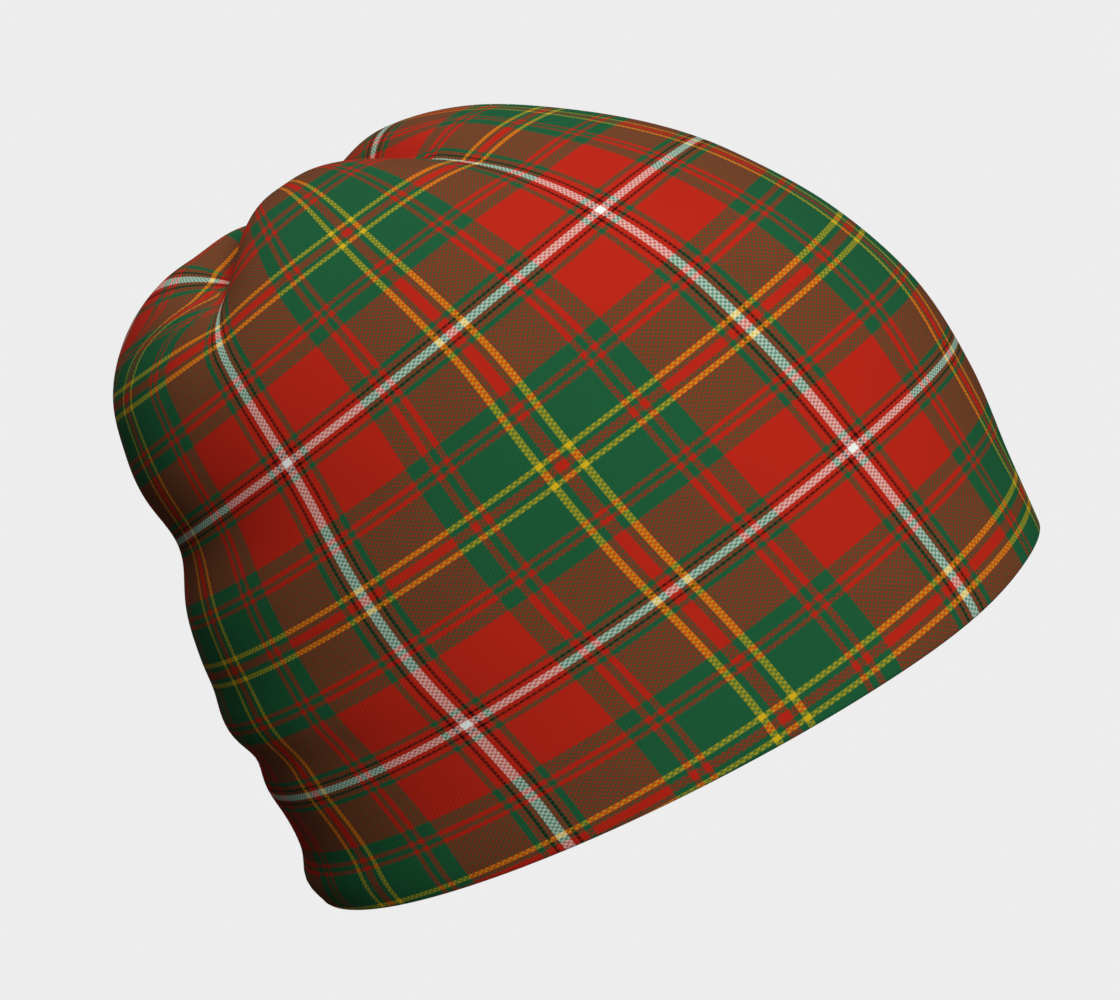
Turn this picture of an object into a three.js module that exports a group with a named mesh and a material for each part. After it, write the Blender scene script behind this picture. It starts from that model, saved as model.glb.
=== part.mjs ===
// A close-fitting cloth beanie, one piece of double jersey with a gathered crown of six petals.
// Millimetres, +Z up, +X towards the forehead, origin at the middle of the rim on the ground.
import * as THREE from 'three';

// Driving dimensions
const WALL = 2;
const PETALS = 6;
const STEPS_PER_PETAL = 12;
const EGG = 0.05;
const DART_SLANT = 0.6;
const CENTRE_SHIFT = 0.3;

// Level sections from the rim to the middle of the crown.
// height: level of the section. shift: its middle, forwards. halfLength, halfWidth: its half axes.
// lean: rise of its front edge. dart: depth of the six darts. rows: mesh rows up to the next section.
const SECTIONS = [
  { height: 0, shift: 0, halfLength: 98.5, halfWidth: 77.5, lean: 0, dart: 0, rows: 1 },
  { height: 5, shift: 0, halfLength: 99, halfWidth: 78, lean: 0, dart: 0, rows: 3 },
  { height: 22, shift: 0, halfLength: 99.5, halfWidth: 78, lean: 0, dart: 0, rows: 4 },
  { height: 45, shift: 0, halfLength: 100.5, halfWidth: 77.5, lean: 0, dart: 0, rows: 4 },
  { height: 69, shift: 0, halfLength: 97.5, halfWidth: 75.5, lean: 0, dart: 0, rows: 4 },
  { height: 93, shift: -3.5, halfLength: 91, halfWidth: 71, lean: 0, dart: 0, rows: 4 },
  { height: 114, shift: -9.5, halfLength: 82.5, halfWidth: 64.5, lean: 0, dart: 0, rows: 3 },
  { height: 128, shift: -14.5, halfLength: 74.5, halfWidth: 57, lean: 0, dart: 1.5, rows: 3 },
  { height: 139.5, shift: -19.5, halfLength: 62.5, halfWidth: 48.5, lean: 1.5, dart: 5, rows: 3 },
  { height: 148.5, shift: -24, halfLength: 48, halfWidth: 38, lean: 3.5, dart: 9, rows: 3 },
  { height: 152.5, shift: -27, halfLength: 33, halfWidth: 27, lean: 4.5, dart: 12, rows: 2 },
  { height: 153, shift: -28, halfLength: 20, halfWidth: 17, lean: 2, dart: 11, rows: 2 },
  { height: 151, shift: -28, halfLength: 9, halfWidth: 8, lean: 0.5, dart: 6, rows: 1 },
  { height: 147, shift: -28, halfLength: 0, halfWidth: 0, lean: 0, dart: 0, rows: 0 },
];

// Soft folds across the back of the head.
// height: level at the back. drop: how far it sinks a sixth of a turn away.
// depth: how far it dents, or swells where it is below zero.
// reach: half height of the dent. spread: how far round it goes, in degrees from the back.
const FOLDS = [
  { height: 91, drop: 8, depth: 4.5, reach: 11, spread: 45 },
  { height: 57, drop: 5, depth: 0.6, reach: 5, spread: 40 },
  { height: 38, drop: 5, depth: 2.9, reach: 6, spread: 42 },
  { height: 20, drop: 2, depth: 2.2, reach: 14, spread: 42 },
  { height: 6, drop: 0, depth: -1.9, reach: 4.5, spread: 42 },
];

const LAST = SECTIONS.length - 1;
const AROUND = PETALS * STEPS_PER_PETAL;
const NUDGE = 0.001;

// Smooth curve through four neighbouring values, from the second at 0 to the third at 1.
function blend(before, from, to, after, part) {
  const slope = to - before;
  const bend = 2 * before - 5 * from + 4 * to - after;
  const twist = 3 * from - before - 3 * to + after;
  return from + 0.5 * part * (slope + part * (bend + part * twist));
}

// One column of the sections at any place between the rim (0) and the middle of the crown (LAST).
function column(name, place) {
  const row = Math.min(Math.floor(place), LAST - 1);
  const from = SECTIONS[row][name];
  const to = SECTIONS[row + 1][name];
  const before = row > 0 ? SECTIONS[row - 1][name] : 2 * from - to;
  const after = row + 2 <= LAST ? SECTIONS[row + 2][name] : 2 * to - from;
  return blend(before, from, to, after, place - row);
}

// The smooth hat before darts and folds. The angle runs from the forehead past the wearer's right ear.
function smoothPoint(angle, place) {
  const narrowing = 1 - EGG * Math.cos(angle);
  const x = column('shift', place) + column('halfLength', place) * Math.cos(angle);
  const y = -column('halfWidth', place) * Math.sin(angle) * narrowing;
  const z = column('height', place) + column('lean', place) * Math.cos(angle);
  return new THREE.Vector3(x, y, z);
}

// Outward direction of any surface given by angle and place.
function outward(surface, angle, place) {
  if (place >= LAST) {
    return new THREE.Vector3(0, 0, 1);
  }
  const upper = surface(angle, Math.min(place + NUDGE, LAST));
  const lower = surface(angle, Math.max(place - NUDGE, 0));
  const onward = surface(angle + NUDGE, place);
  const back = surface(angle - NUDGE, place);
  const rise = upper.sub(lower);
  const round = onward.sub(back);
  return rise.cross(round).normalize();
}

// How much of a dart's depth shows at an angle: all of it on the seam, none on a petal's middle.
function dartShape(angle) {
  const petal = Math.abs(Math.sin(0.5 * PETALS * angle));
  return (1 - petal) ** 2 * (1 - DART_SLANT * Math.cos(angle));
}

// How deep the folds are at an angle and a height.
function foldDepth(angle, height) {
  const fromBack = Math.abs(Math.atan2(Math.sin(angle), -Math.cos(angle)));
  const sixth = fromBack / (Math.PI / 3);
  let depth = 0;
  for (const fold of FOLDS) {
    const aside = fromBack / THREE.MathUtils.degToRad(fold.spread);
    const above = (height - fold.height + fold.drop * sixth * sixth) / fold.reach;
    depth += fold.depth * Math.exp(-aside * aside - above * above);
  }
  return depth;
}

// The outside of the cloth.
function outerPoint(angle, place) {
  const point = smoothPoint(angle, place);
  const direction = outward(smoothPoint, angle, place);
  point.addScaledVector(direction, -column('dart', place) * dartShape(angle));
  point.addScaledVector(direction, -foldDepth(angle, point.z));
  return point;
}

// The inside of the cloth, one wall further in, with the rim kept flat on the ground.
function innerPoint(angle, place) {
  const point = outerPoint(angle, place);
  const direction = outward(outerPoint, angle, place);
  if (place === 0) {
    direction.setZ(0).normalize();
  }
  return point.addScaledVector(direction, -WALL);
}

// Places of the mesh rows, from the rim up to the row below the middle of the crown.
function rowPlaces() {
  const places = [];
  SECTIONS.forEach((section, index) => {
    for (let step = 0; step < section.rows; step += 1) {
      places.push(index + step / section.rows);
    }
  });
  return places;
}

// One closed shell: outside, inside and the flat ring of the rim between them.
function shellGeometry() {
  const places = rowPlaces();
  const positions = [];
  const addPoint = (point) => positions.push(point.x - CENTRE_SHIFT, point.y, point.z);
  for (const surface of [outerPoint, innerPoint]) {
    for (const place of places) {
      for (let step = 0; step < AROUND; step += 1) {
        addPoint(surface((2 * Math.PI * step) / AROUND, place));
      }
    }
    addPoint(surface(0, LAST));
  }

  const side = places.length * AROUND + 1;
  const top = places.length - 1;
  const indices = [];
  for (let step = 0; step < AROUND; step += 1) {
    const next = (step + 1) % AROUND;
    for (let row = 0; row < top; row += 1) {
      const a = row * AROUND + step;
      const b = row * AROUND + next;
      const c = b + AROUND;
      const d = a + AROUND;
      indices.push(a, d, c, a, c, b);
      indices.push(side + a, side + c, side + d, side + a, side + b, side + c);
    }
    const a = top * AROUND + step;
    const b = top * AROUND + next;
    indices.push(a, side - 1, b);
    indices.push(side + a, side + b, 2 * side - 1);
    indices.push(step, next, side + next, step, side + next, side + step);
  }

  const geometry = new THREE.BufferGeometry();
  geometry.setAttribute('position', new THREE.Float32BufferAttribute(positions, 3));
  geometry.setIndex(indices);
  geometry.computeVertexNormals();
  return geometry;
}

const tartanCloth = new THREE.MeshStandardMaterial({ color: 0x7d3f2a, roughness: 0.95, metalness: 0 });

const crown = new THREE.Mesh(shellGeometry(), tartanCloth);
crown.name = 'crown';

const beanie = new THREE.Group();
beanie.add(crown);

export default beanie;
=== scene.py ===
import math

import bpy
import numpy as np
from mathutils import Matrix, Vector


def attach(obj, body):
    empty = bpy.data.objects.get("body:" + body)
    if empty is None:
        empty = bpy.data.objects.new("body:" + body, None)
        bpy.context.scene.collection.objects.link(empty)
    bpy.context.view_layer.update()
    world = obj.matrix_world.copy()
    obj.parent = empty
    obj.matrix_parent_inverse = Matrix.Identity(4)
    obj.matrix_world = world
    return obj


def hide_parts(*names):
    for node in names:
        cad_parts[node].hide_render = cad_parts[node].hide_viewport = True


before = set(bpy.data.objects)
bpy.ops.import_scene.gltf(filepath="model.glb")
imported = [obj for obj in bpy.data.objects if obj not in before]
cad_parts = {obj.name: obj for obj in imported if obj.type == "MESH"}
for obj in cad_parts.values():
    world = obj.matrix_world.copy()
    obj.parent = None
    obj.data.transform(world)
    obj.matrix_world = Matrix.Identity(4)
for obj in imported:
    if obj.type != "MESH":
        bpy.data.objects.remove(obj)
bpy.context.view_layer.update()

# The hat, in millimetres, in the frame's axes: +X to the forehead, +Z up, the rim on the ground.
# egg: share by which the front is narrower and the back wider.
# dart_slant: share by which the darts are shallower at the front and deeper at the back.
# centre_shift: how far back the hat is moved, so that the middle of its length is at the origin.
MM = 0.001
WALL = 2.0
PETALS = 6
PETAL_DEGREES = 360 / PETALS
EGG = 0.05
DART_SLANT = 0.6
CENTRE_SHIFT = 0.3
DOWN = np.array((0.0, 0.0, -1.0))

# Level sections from the rim to the middle of the crown.
# height: level of the section. shift: its middle, forwards. half_length, half_width: its half axes.
# lean: rise of its front edge. dart: depth of the six darts.
COLUMNS = ("height", "shift", "half_length", "half_width", "lean", "dart")
SECTIONS = np.array([
    (0, 0, 98.5, 77.5, 0, 0),
    (5, 0, 99, 78, 0, 0),
    (22, 0, 99.5, 78, 0, 0),
    (45, 0, 100.5, 77.5, 0, 0),
    (69, 0, 97.5, 75.5, 0, 0),
    (93, -3.5, 91, 71, 0, 0),
    (114, -9.5, 82.5, 64.5, 0, 0),
    (128, -14.5, 74.5, 57, 0, 1.5),
    (139.5, -19.5, 62.5, 48.5, 1.5, 5),
    (148.5, -24, 48, 38, 3.5, 9),
    (152.5, -27, 33, 27, 4.5, 12),
    (153, -28, 20, 17, 2, 11),
    (151, -28, 9, 8, 0.5, 6),
    (147, -28, 0, 0, 0, 0),
])
LAST = len(SECTIONS) - 1

# Soft folds across the back: level, drop a sixth of a turn away, depth, half height, spread in degrees.
# A depth below zero swells outwards.
FOLDS = (
    (91, 8, 4.5, 11, 45),
    (57, 5, 0.6, 5, 40),
    (38, 5, 2.9, 6, 42),
    (20, 2, 2.2, 14, 42),
    (6, 0, -1.9, 4.5, 42),
)

# The front of the rim is cut a little higher: how much, how far round, how sharply that ends,
# and how far up it is felt.
FRONT_CUT = 3.0
CUT_SPREAD = math.radians(41)
CUT_SHARPNESS = 4
CUT_REACH = 30.0

# Mesh fineness. The inside has the plain reverse down to the middle of the rolled rim.
STEPS_PER_PETAL = 42
AROUND = PETALS * STEPS_PER_PETAL
STEP = 2 * math.pi / AROUND
ROWS = 120
RIM_STEPS = 8
INNER_ROWS = ROWS + RIM_STEPS // 2
PROFILE_STEPS = 1300
NUDGE = 0.001
TINY = 1e-9

# Half of the tartan's repeat in threads, from the middle of the white line to that of the yellow pair.
# The repeat is as wide as a petal and repeat_up high. Before the print is bent, its lowest white line
# lies white_level above the rim.
HALF_SETT = (
    ("white", 1.5), ("red", 1.5), ("black", 1), ("red", 2), ("green", 2), ("red", 23), ("green", 6),
    ("red", 2), ("green", 2), ("red", 2), ("green", 17), ("yellow", 2), ("green", 2), ("red", 2),
)
HALF_THREADS = sum(threads for _, threads in HALF_SETT)
REPEAT_UP = 66.4
WHITE_LEVEL = 38.2
PRINT_MAP = "print"

# How the print lies on the hat, by millimetres up the side from the rim.
# twist: degrees round the whole head. front_pull: degrees at the forehead.
# front_fade: share of that pull, by degrees from the forehead towards the wearer's right ear.
# lift, back_lift: millimetres that level stripes lie higher, all round and at the back.
# tilt: millimetres that they rise to the front.
# back_take, front_take: degrees of cloth that the darts of the back and front petals have taken in.
# take_ease: degrees over which the back petals' take begins beside the side petals.
# side_rise, back_drop: millimetres that the darts have moved the level stripes of the side and back petals.
TWIST = ((0, 11), (20, 8.3), (38, 4.9), (55, 1.9), (71, -0.4), (105, -0.8), (135, -1.8), (155, 0))
FRONT_PULL = ((0, 4), (45, 0), (70, 11), (120, 12), (150, 0))
FRONT_FADE = ((-32, 0), (8, 1))
LIFT = ((0, -2), (10, -1.2), (20, -0.4), (36, -1.5), (72, -1.6), (105, 0.8), (138, 2.3), (160, 0))
TILT = ((0, 5), (15, 11.5), (35, 16), (75, 16), (105, 20.5), (120, 20.5), (146, 16), (168, 3), (200, 0))
BACK_LIFT = ((0, 0), (25, 7), (110, 7), (132, 11), (170, 10))
BACK_TAKE = ((128, 0), (134, 3.5), (140, 9), (143, 16), (146, 25), (150, 27), (158, 28), (180, 23))
FRONT_TAKE = ((157, 0), (166, 10))
TAKE_EASE = ((130, 9), (148, 1))
SIDE_RISE = ((146, 0), (160, 6))
BACK_DROP = ((136, 0), (150, 11.2), (160, 9.2), (170, 7))
BACK_LIFT_SPREAD = math.radians(45)
PULL_SHARPNESS = 4

# Which petals are at the back, front and side, from the forehead past the wearer's right ear.
# The sign is the way round that a dart has moved the print.
BACK_SIGN = np.array((0, 0, 1, -1, 0, 0))
FRONT_SIGN = np.array((-1, 0, 0, 0, 0, 1))
SIDE_SIGN = np.array((0, 1, 0, 0, 1, 0))

# The tables' corners are rounded over a wide or a narrow reach to either side, at these shares of it.
SOFTENING = (-1, -0.75, -0.5, -0.25, 0, 0.25, 0.5, 0.75, 1)
WIDE = 12
NARROW = 3

# Yarn colours as seen under the studio light, and how far the thread on top outweighs the one below.
YARN = {
    "white": (235, 240, 235),
    "red": (180, 40, 26),
    "black": (30, 20, 15),
    "green": (32, 90, 57),
    "yellow": (212, 172, 30),
}
REVERSE = (224, 218, 206)
BRIGHTEST = 255
DOT_CONTRAST = 0.36
EYE_GAMMA = 2.2

# The cloth's material slots, and the colour sockets of Blender's Mix node, which have to be numbered.
OUTSIDE = 0
INSIDE = 1
MIX_FIRST = 6
MIX_SECOND = 7
MIX_RESULT = 2

# The studio, in metres. surround: strength of the light from all round.
# Each softbox: its name, its direction from the hat, its watts.
PAPER = (237, 237, 237)
BLACK = (0.0, 0.0, 0.0, 1.0)
FLOOR_HALF = 4.0
SURROUND = 0.1
SOFTBOXES = (
    ("key_light", (0.5, -1, 0.2), 11.8),
    ("top_light", (0, 0, 1), 6.4),
    ("back_light", (0, 1, 0.15), 8),
)
SOFTBOX_SIZE = 0.45
SOFTBOX_AWAY = 1.2
LIT_MIDDLE = Vector((0, 0, 0.075))

# The camera, in millimetres and degrees. It looks a little down and is rolled, so that the forehead rises.
EYE = (-3.6, -383, 85)
AIM = (-3.6, 0, 59)
ROLL = 26.7
LENS = 50
SENSOR = 36
NEAREST = 10


# The shape of the hat
def column(name, place):
    """One column of the sections at any place from the rim, 0, to the middle of the crown, LAST."""
    values = SECTIONS[:, COLUMNS.index(name)]
    row = np.minimum(np.floor(place).astype(int), LAST - 1)
    start = values[row]
    end = values[row + 1]
    before = np.where(row > 0, values[row - 1], 2 * start - end)
    after = np.where(row + 2 <= LAST, values[np.minimum(row + 2, LAST)], 2 * end - start)
    part = place - row
    slope = end - before
    bend = 2 * before - 5 * start + 4 * end - after
    twist = 3 * start - before - 3 * end + after
    return start + 0.5 * part * (slope + part * (bend + part * twist))


def smooth_point(angle, place):
    """The hat before darts and folds. The angle runs from the forehead past the wearer's right ear."""
    narrowing = 1 - EGG * np.cos(angle)
    x = column("shift", place) + column("half_length", place) * np.cos(angle) - CENTRE_SHIFT
    y = -column("half_width", place) * np.sin(angle) * narrowing
    z = column("height", place) + column("lean", place) * np.cos(angle)
    return np.stack([x, y, z], axis=-1)


def outward(surface, angle, place):
    """The outward direction of a surface given by angle and place."""
    upper = surface(angle, np.minimum(place + NUDGE, LAST))
    lower = surface(angle, np.maximum(place - NUDGE, 0))
    onward = surface(angle + NUDGE, place)
    back = surface(angle - NUDGE, place)
    normal = np.cross(upper - lower, onward - back)
    length = np.linalg.norm(normal, axis=-1, keepdims=True)
    return np.where(length > TINY, normal / np.maximum(length, TINY), -DOWN)


def dart_shape(angle):
    """How much of a dart's depth shows at an angle: all on the seam, none on a petal's middle."""
    petal = np.abs(np.sin(0.5 * PETALS * angle))
    return (1 - petal) ** 2 * (1 - DART_SLANT * np.cos(angle))


def from_front(angle):
    """The angle from the forehead, above zero on the side of the wearer's right ear."""
    return np.arctan2(np.sin(angle), np.cos(angle))


def from_back(angle):
    """The angle away from the middle of the back."""
    return np.abs(np.arctan2(np.sin(angle), -np.cos(angle)))


def fold_depth(angle, height):
    """How deep the folds are at an angle and a height."""
    aside = from_back(angle)
    sixth = aside / (math.pi / 3)
    depth = np.zeros(np.shape(angle))
    for level, drop, deepest, reach, spread in FOLDS:
        across = aside / math.radians(spread)
        above = (height - level + drop * sixth ** 2) / reach
        depth = depth + deepest * np.exp(-across ** 2 - above ** 2)
    return depth


def outer_point(angle, place):
    """The outside of the cloth."""
    point = smooth_point(angle, place)
    depth = column("dart", place) * dart_shape(angle) + fold_depth(angle, point[..., 2])
    return point - outward(smooth_point, angle, place) * depth[..., None]


# How far up the side each place is
profile_places = np.linspace(0, LAST, PROFILE_STEPS + 1)
profile = smooth_point(np.full(profile_places.shape, math.pi / 2), profile_places)
profile_steps = np.linalg.norm(np.diff(profile, axis=0), axis=1)
profile_distance = np.concatenate([[0], np.cumsum(profile_steps)])


def cut_higher(angle, distance):
    """Where a level row of the cloth lies up the side, near a rim that is cut higher at the front."""
    forward = np.exp(-(from_front(angle) / CUT_SPREAD) ** CUT_SHARPNESS)
    return distance + FRONT_CUT * forward * np.maximum(1 - distance / CUT_REACH, 0)


# The lie of the print
def ramp(table, distance, reach):
    """A value from a table of (distance, value), with its corners rounded over a reach to either side."""
    distances, values = zip(*table)
    return np.mean([np.interp(distance + reach * share, distances, values) for share in SOFTENING], axis=0)


def print_round(angle, distance, petal):
    """How far round the tartan a point is, in repeats, with white lines at whole numbers."""
    turned = np.degrees(angle)
    forward = np.maximum(np.cos(angle), 0) ** PULL_SHARPNESS
    fade = ramp(FRONT_FADE, np.degrees(from_front(angle)), WIDE)
    pull = ramp(FRONT_PULL, distance, WIDE) * forward * fade
    across = turned / PETAL_DEGREES - petal
    from_seam = np.where(petal < PETALS / 2, across, 1 - across)
    eased = np.minimum(from_seam * PETAL_DEGREES / ramp(TAKE_EASE, distance, NARROW), 1)
    back_take = ramp(BACK_TAKE, distance, NARROW) * BACK_SIGN[petal] * eased
    front_take = ramp(FRONT_TAKE, distance, NARROW) * FRONT_SIGN[petal] * from_seam
    return (turned + ramp(TWIST, distance, WIDE) + pull + back_take + front_take) / PETAL_DEGREES


def print_level(angle, distance, petal):
    """How far up the tartan a point is, in repeats, with white lines at whole numbers."""
    tilt = ramp(TILT, distance, WIDE) * np.cos(angle)
    back_lift = ramp(BACK_LIFT, distance, WIDE) * np.exp(-(from_back(angle) / BACK_LIFT_SPREAD) ** 2)
    side_rise = ramp(SIDE_RISE, distance, NARROW) * SIDE_SIGN[petal]
    back_drop = ramp(BACK_DROP, distance, NARROW) * np.abs(BACK_SIGN)[petal]
    higher = ramp(LIFT, distance, WIDE) + tilt + back_lift + side_rise - back_drop
    return (distance - higher - WHITE_LEVEL) / REPEAT_UP


# The mesh of the cloth
def cloth_rows():
    """Rows of points and how far up the side each is.

    They run from the middle of the crown inside, down to the rim and up to the middle outside.
    """
    edge = WALL / 2
    distances = np.linspace(edge, profile_distance[-1], ROWS + 1)[:-1]
    angles = np.linspace(0, 2 * math.pi, AROUND, endpoint=False)
    angle, distance = np.meshgrid(angles, distances)
    place = np.interp(cut_higher(angle, distance), profile_distance, profile_places)
    outside = outer_point(angle, place)
    directions = outward(outer_point, angle, place)
    inside = outside - WALL * directions

    level = directions[0] * (1, 1, 0)
    level = level / np.linalg.norm(level, axis=-1, keepdims=True)
    middle = outside[0] - edge * level
    inside[0] = middle - edge * level
    turns = np.linspace(math.pi, 0, RIM_STEPS + 1)[1:-1]
    rolled = [middle + edge * (math.cos(turn) * level + math.sin(turn) * DOWN) for turn in turns]
    rolled_distances = edge - edge * (math.pi / 2 - np.abs(turns - math.pi / 2))

    rows = np.concatenate([inside[::-1], np.array(rolled), outside])
    row_distances = np.concatenate([distances[::-1], rolled_distances, distances])
    return rows, row_distances


def strips():
    """Each strip up the hat: its number, the next one's, its petal and its two angles."""
    for along in range(AROUND):
        yield along, (along + 1) % AROUND, along // STEPS_PER_PETAL, along * STEP, (along + 1) * STEP


def cloth_faces(row_distances):
    """The faces, each corner's angle, distance and petal, and each face's material.

    The two points after the rows are the middles of the crown, first inside and then outside.
    """
    faces = []
    corners = []
    materials = []
    last_row = len(row_distances) - 1
    for row in range(last_row):
        low = row * AROUND
        high = low + AROUND
        below, above = row_distances[row:row + 2]
        for this, following, petal, near, far in strips():
            faces.append((low + this, high + this, high + following, low + following))
            corners += [(near, below, petal), (near, above, petal), (far, above, petal), (far, below, petal)]
            materials.append(INSIDE if row + 1 < INNER_ROWS else OUTSIDE)

    middle = len(row_distances) * AROUND
    top = profile_distance[-1]
    edge = row_distances[0]
    for this, following, petal, near, far in strips():
        faces.append((middle, this, following))
        corners += [((near + far) / 2, top, petal), (near, edge, petal), (far, edge, petal)]
        materials.append(INSIDE)
    low = last_row * AROUND
    for this, following, petal, near, far in strips():
        faces.append((low + this, middle + 1, low + following))
        corners += [(near, edge, petal), ((near + far) / 2, top, petal), (far, edge, petal)]
        materials.append(OUTSIDE)
    return faces, corners, materials


def cloth_mesh():
    """The cloth as one closed mesh: outside, rolled rim and inside, with the print's places as its UV map."""
    rows, row_distances = cloth_rows()
    outer_middle = outer_point(np.zeros(1), np.array([float(LAST)]))
    inner_middle = outer_middle + WALL * DOWN
    points = np.concatenate([rows.reshape(-1, 3), inner_middle, outer_middle]) * MM
    faces, corners, materials = cloth_faces(row_distances)

    mesh = bpy.data.meshes.new("beanie_cloth")
    mesh.from_pydata(points.tolist(), [], faces)
    angle, level_distance, petal = np.array(corners).T
    petal = petal.astype(int)
    distance = cut_higher(angle, level_distance)
    places = np.stack([print_round(angle, distance, petal), print_level(angle, distance, petal)], axis=-1)
    mesh.uv_layers.new(name=PRINT_MAP).uv.foreach_set("vector", places.ravel())
    mesh.polygons.foreach_set("use_smooth", [True] * len(faces))
    mesh.polygons.foreach_set("material_index", materials)
    mesh.validate()
    mesh.update()
    return mesh


# Materials
def linear(colour):
    """A colour of 0 to 255 as the eye sees it, as the light that the shader needs, by the sRGB curve."""
    shares = [value / BRIGHTEST for value in colour]
    return tuple(s / 12.92 if s <= 0.04045 else ((s + 0.055) / 1.055) ** 2.4 for s in shares) + (1.0,)


class Nodes:
    """Adds nodes to a material and links them."""

    def __init__(self, name):
        self.material = bpy.data.materials.new(name)
        self.material.use_nodes = True
        self.tree = self.material.node_tree
        self.shader = self.tree.nodes["Principled BSDF"]

    def link(self, value, socket):
        if isinstance(value, bpy.types.NodeSocket):
            self.tree.links.new(value, socket)
        else:
            socket.default_value = value

    def math(self, operation, *values):
        node = self.tree.nodes.new("ShaderNodeMath")
        node.operation = operation
        for value, socket in zip(values, node.inputs):
            self.link(value, socket)
        return node.outputs[0]

    def mix(self, share, first, second, blend="MIX"):
        node = self.tree.nodes.new("ShaderNodeMix")
        node.data_type = "RGBA"
        node.blend_type = blend
        self.link(share, node.inputs["Factor"])
        self.link(first, node.inputs[MIX_FIRST])
        self.link(second, node.inputs[MIX_SECOND])
        return node.outputs[MIX_RESULT]

    def gamma(self, colour, power):
        node = self.tree.nodes.new("ShaderNodeGamma")
        self.link(colour, node.inputs["Color"])
        node.inputs["Gamma"].default_value = power
        return node.outputs["Color"]

    def print_place(self):
        """The place in the print, round the head and up it."""
        node = self.tree.nodes.new("ShaderNodeUVMap")
        node.uv_map = PRINT_MAP
        split = self.tree.nodes.new("ShaderNodeSeparateXYZ")
        self.link(node.outputs["UV"], split.inputs[0])
        return split.outputs["X"], split.outputs["Y"]

    def mottled(self, colour, scale, detail, swing):
        """Gives the shader a colour that varies in soft patches, by a swing from darkest to lightest."""
        place = self.tree.nodes.new("ShaderNodeTexCoord")
        noise = self.tree.nodes.new("ShaderNodeTexNoise")
        self.link(place.outputs["Object"], noise.inputs["Vector"])
        noise.inputs["Scale"].default_value = scale
        noise.inputs["Detail"].default_value = detail
        shade = self.math("MULTIPLY_ADD", noise.outputs["Fac"], swing, 1 - swing / 2)
        self.link(self.mix(1.0, colour, shade, "MULTIPLY"), self.shader.inputs["Base Color"])

    def ridges(self, count):
        """A height that is lowest at each whole number of a count and highest half way between."""
        return self.math("PINGPONG", count, 0.5)

    def bump(self, height, strength, distance):
        node = self.tree.nodes.new("ShaderNodeBump")
        node.inputs["Strength"].default_value = strength
        node.inputs["Distance"].default_value = distance
        self.link(height, node.inputs["Height"])
        self.link(node.outputs["Normal"], self.shader.inputs["Normal"])

    def finish(self, roughness, gloss):
        self.shader.inputs["Roughness"].default_value = roughness
        self.shader.inputs["Specular IOR Level"].default_value = gloss
        return self.material


def stripe_colours(nodes, threads):
    """The yarn of each thread across the sett, mirrored at the white line and at the yellow pair."""
    share = nodes.math("DIVIDE", nodes.math("PINGPONG", threads, HALF_THREADS), HALF_THREADS)
    stripes = nodes.tree.nodes.new("ShaderNodeValToRGB")
    stripes.color_ramp.interpolation = "CONSTANT"
    stops = stripes.color_ramp.elements
    stops.remove(stops[1])
    begin = 0
    for index, (yarn, count) in enumerate(HALF_SETT):
        stop = stops[0] if index == 0 else stops.new(begin / HALF_THREADS)
        stop.color = tuple(value / BRIGHTEST for value in YARN[yarn]) + (1.0,)
        begin += count
    nodes.link(share, stripes.inputs["Fac"])
    return stripes.outputs["Color"]


def tartan_material():
    """Printed tartan: two sets of stripes whose threads show by turns, mixed as the eye mixes them."""
    nodes = Nodes("tartan_jersey")
    round_head, up_head = nodes.print_place()
    up_threads = nodes.math("MULTIPLY", round_head, 2 * HALF_THREADS)
    level_threads = nodes.math("MULTIPLY", up_head, 2 * HALF_THREADS)
    upright = stripe_colours(nodes, up_threads)
    level = stripe_colours(nodes, level_threads)

    diagonal = nodes.math("ADD", nodes.math("FLOOR", up_threads), nodes.math("FLOOR", level_threads))
    over = nodes.math("FLOORED_MODULO", diagonal, 2)
    share = nodes.math("MULTIPLY_ADD", over, DOT_CONTRAST, 0.5 - 0.5 * DOT_CONTRAST)
    cloth = nodes.gamma(nodes.mix(share, upright, level), EYE_GAMMA)
    nodes.mottled(cloth, scale=60, detail=3, swing=0.12)

    across = nodes.math("MULTIPLY", nodes.ridges(up_threads), over)
    along = nodes.math("MULTIPLY", nodes.ridges(level_threads), nodes.math("SUBTRACT", 1.0, over))
    nodes.bump(nodes.math("ADD", across, along), strength=0.25, distance=0.0004)
    return nodes.finish(roughness=0.9, gloss=0.08)


def reverse_material():
    """The plain reverse of the jersey: fine knitted ribs in undyed yarn."""
    nodes = Nodes("jersey_reverse")
    round_head, _ = nodes.print_place()
    ribs = nodes.ridges(nodes.math("MULTIPLY", round_head, HALF_THREADS))
    nodes.mottled(linear(REVERSE), scale=90, detail=4, swing=0.2)
    nodes.bump(ribs, strength=0.3, distance=0.0005)
    return nodes.finish(roughness=0.95, gloss=0.1)


def floor_material():
    """Pale paper that keeps one even tone up to the backdrop."""
    nodes = Nodes("pale_paper")
    nodes.shader.inputs["Base Color"].default_value = BLACK
    nodes.shader.inputs["Emission Color"].default_value = linear(PAPER)
    nodes.shader.inputs["Emission Strength"].default_value = 1.0
    return nodes.finish(roughness=1.0, gloss=0.0)


def add_object(name, data):
    made = bpy.data.objects.new(name, data)
    bpy.context.scene.collection.objects.link(made)
    return made


# The hat
beanie = add_object("beanie_cloth", cloth_mesh())
beanie.data.materials.append(tartan_material())
beanie.data.materials.append(reverse_material())
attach(beanie, "root")
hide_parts("crown")

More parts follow.
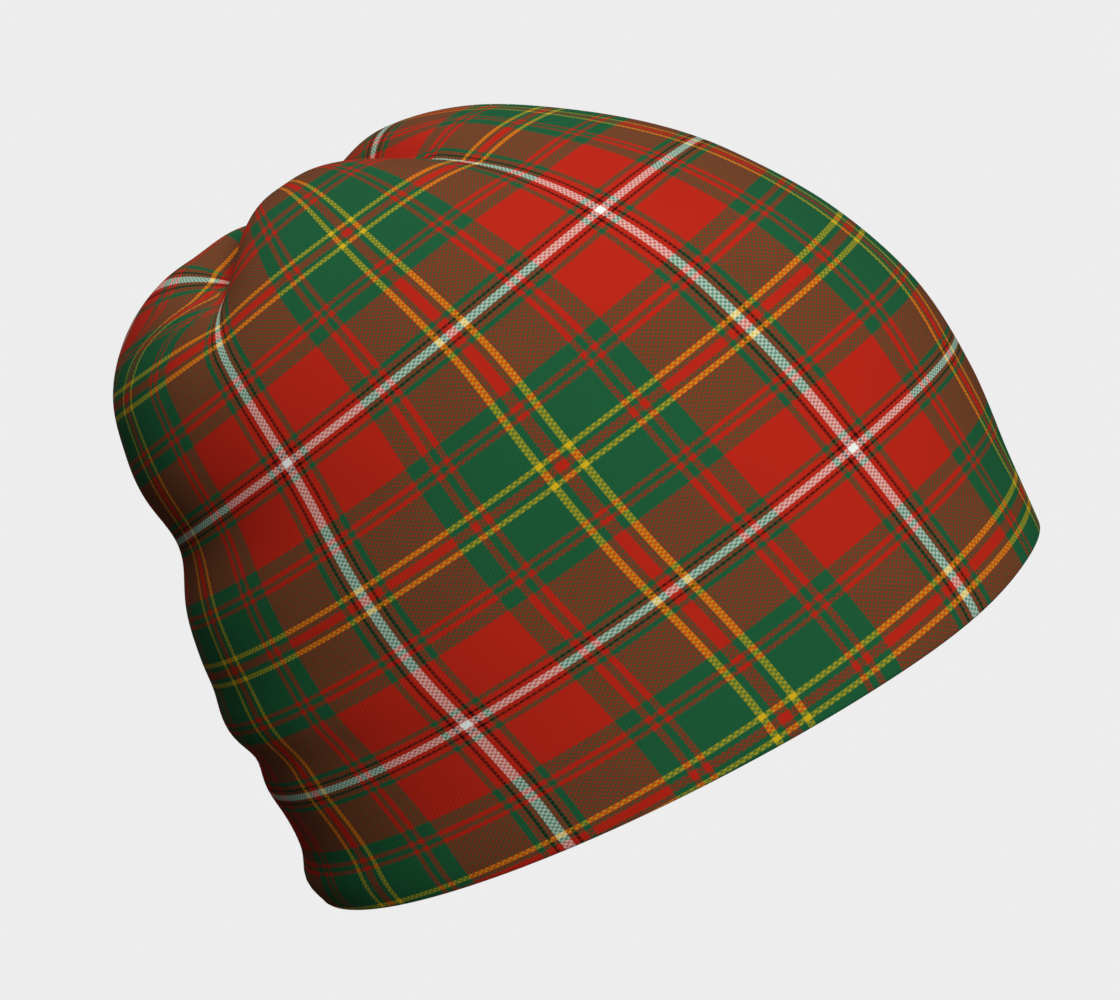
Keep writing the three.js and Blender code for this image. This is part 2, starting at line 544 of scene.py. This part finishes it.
# The floor, which throws no light on the hat
floor_signs = ((-1, -1), (1, -1), (1, 1), (-1, 1))
floor_data = bpy.data.meshes.new("floor")
floor_data.from_pydata([(x * FLOOR_HALF, y * FLOOR_HALF, 0) for x, y in floor_signs], [], [(0, 1, 2, 3)])
floor = add_object("floor", floor_data)
floor.data.materials.append(floor_material())
floor.visible_diffuse = False
floor.visible_glossy = False

# Studio light: square softboxes that face the middle of the hat and do not show
for name, towards, watts in SOFTBOXES:
    softbox = bpy.data.lights.new(name, "AREA")
    softbox.size = SOFTBOX_SIZE
    softbox.energy = watts
    light = add_object(name, softbox)
    light.visible_camera = False
    direction = Vector(towards).normalized()
    light.location = LIT_MIDDLE + SOFTBOX_AWAY * direction
    light.rotation_euler = direction.to_track_quat("Z", "Y").to_euler()

# The surround: dim light for the hat, and a backdrop in the floor's tone for the camera
world = bpy.data.worlds.new("studio")
world.use_nodes = True
bpy.context.scene.world = world
sky = world.node_tree
surround = sky.nodes["Background"]
surround.inputs["Color"].default_value = linear(PAPER)
surround.inputs["Strength"].default_value = SURROUND
backdrop = sky.nodes.new("ShaderNodeBackground")
backdrop.inputs["Color"].default_value = linear(PAPER)
seen = sky.nodes.new("ShaderNodeLightPath")
choice = sky.nodes.new("ShaderNodeMixShader")
sky.links.new(seen.outputs["Is Camera Ray"], choice.inputs["Fac"])
sky.links.new(surround.outputs["Background"], choice.inputs[1])
sky.links.new(backdrop.outputs["Background"], choice.inputs[2])
sky.links.new(choice.outputs["Shader"], sky.nodes["World Output"].inputs["Surface"])
bpy.context.scene.view_settings.view_transform = "Standard"

# The camera
camera_data = bpy.data.cameras.new("camera")
camera_data.lens = LENS
camera_data.sensor_width = SENSOR
camera_data.sensor_fit = "HORIZONTAL"
camera_data.clip_start = NEAREST * MM
camera = add_object("camera", camera_data)
eye = Vector(EYE) * MM
facing = (Vector(AIM) * MM - eye).to_track_quat("-Z", "Y").to_matrix().to_4x4()
camera.matrix_world = Matrix.Translation(eye) @ facing @ Matrix.Rotation(math.radians(-ROLL), 4, "Z")
bpy.context.scene.camera = camera
